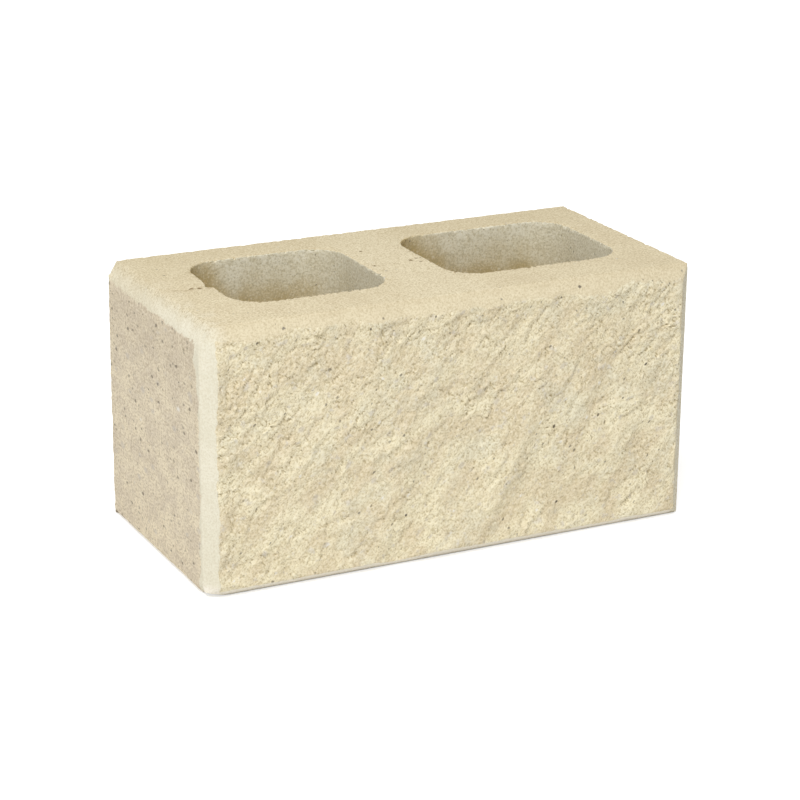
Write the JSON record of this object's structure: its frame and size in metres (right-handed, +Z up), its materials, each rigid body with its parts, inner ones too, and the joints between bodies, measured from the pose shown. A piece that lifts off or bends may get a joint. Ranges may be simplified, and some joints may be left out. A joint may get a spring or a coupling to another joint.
{
  "type": "concrete block",
  "caption": "Hollow concrete masonry block with a rock-textured split face, moulded chamfers round it, and tapered through cores with rounded corners.",
  "frame": {"origin": "middle of the bottom bed, on the middle web, in the middle of the block's overall box", "axes": "+X along the length towards the plain right end, +Y from the split face to the back, +Z up from the bottom bed to the top bed"},
  "size_m": [0.39, 0.1925, 0.2],
  "materials": {
    "concrete": "rough"
  },
  "bodies": {
    "root": {"concrete_block": "concrete"}
  },
  "joints": []
}
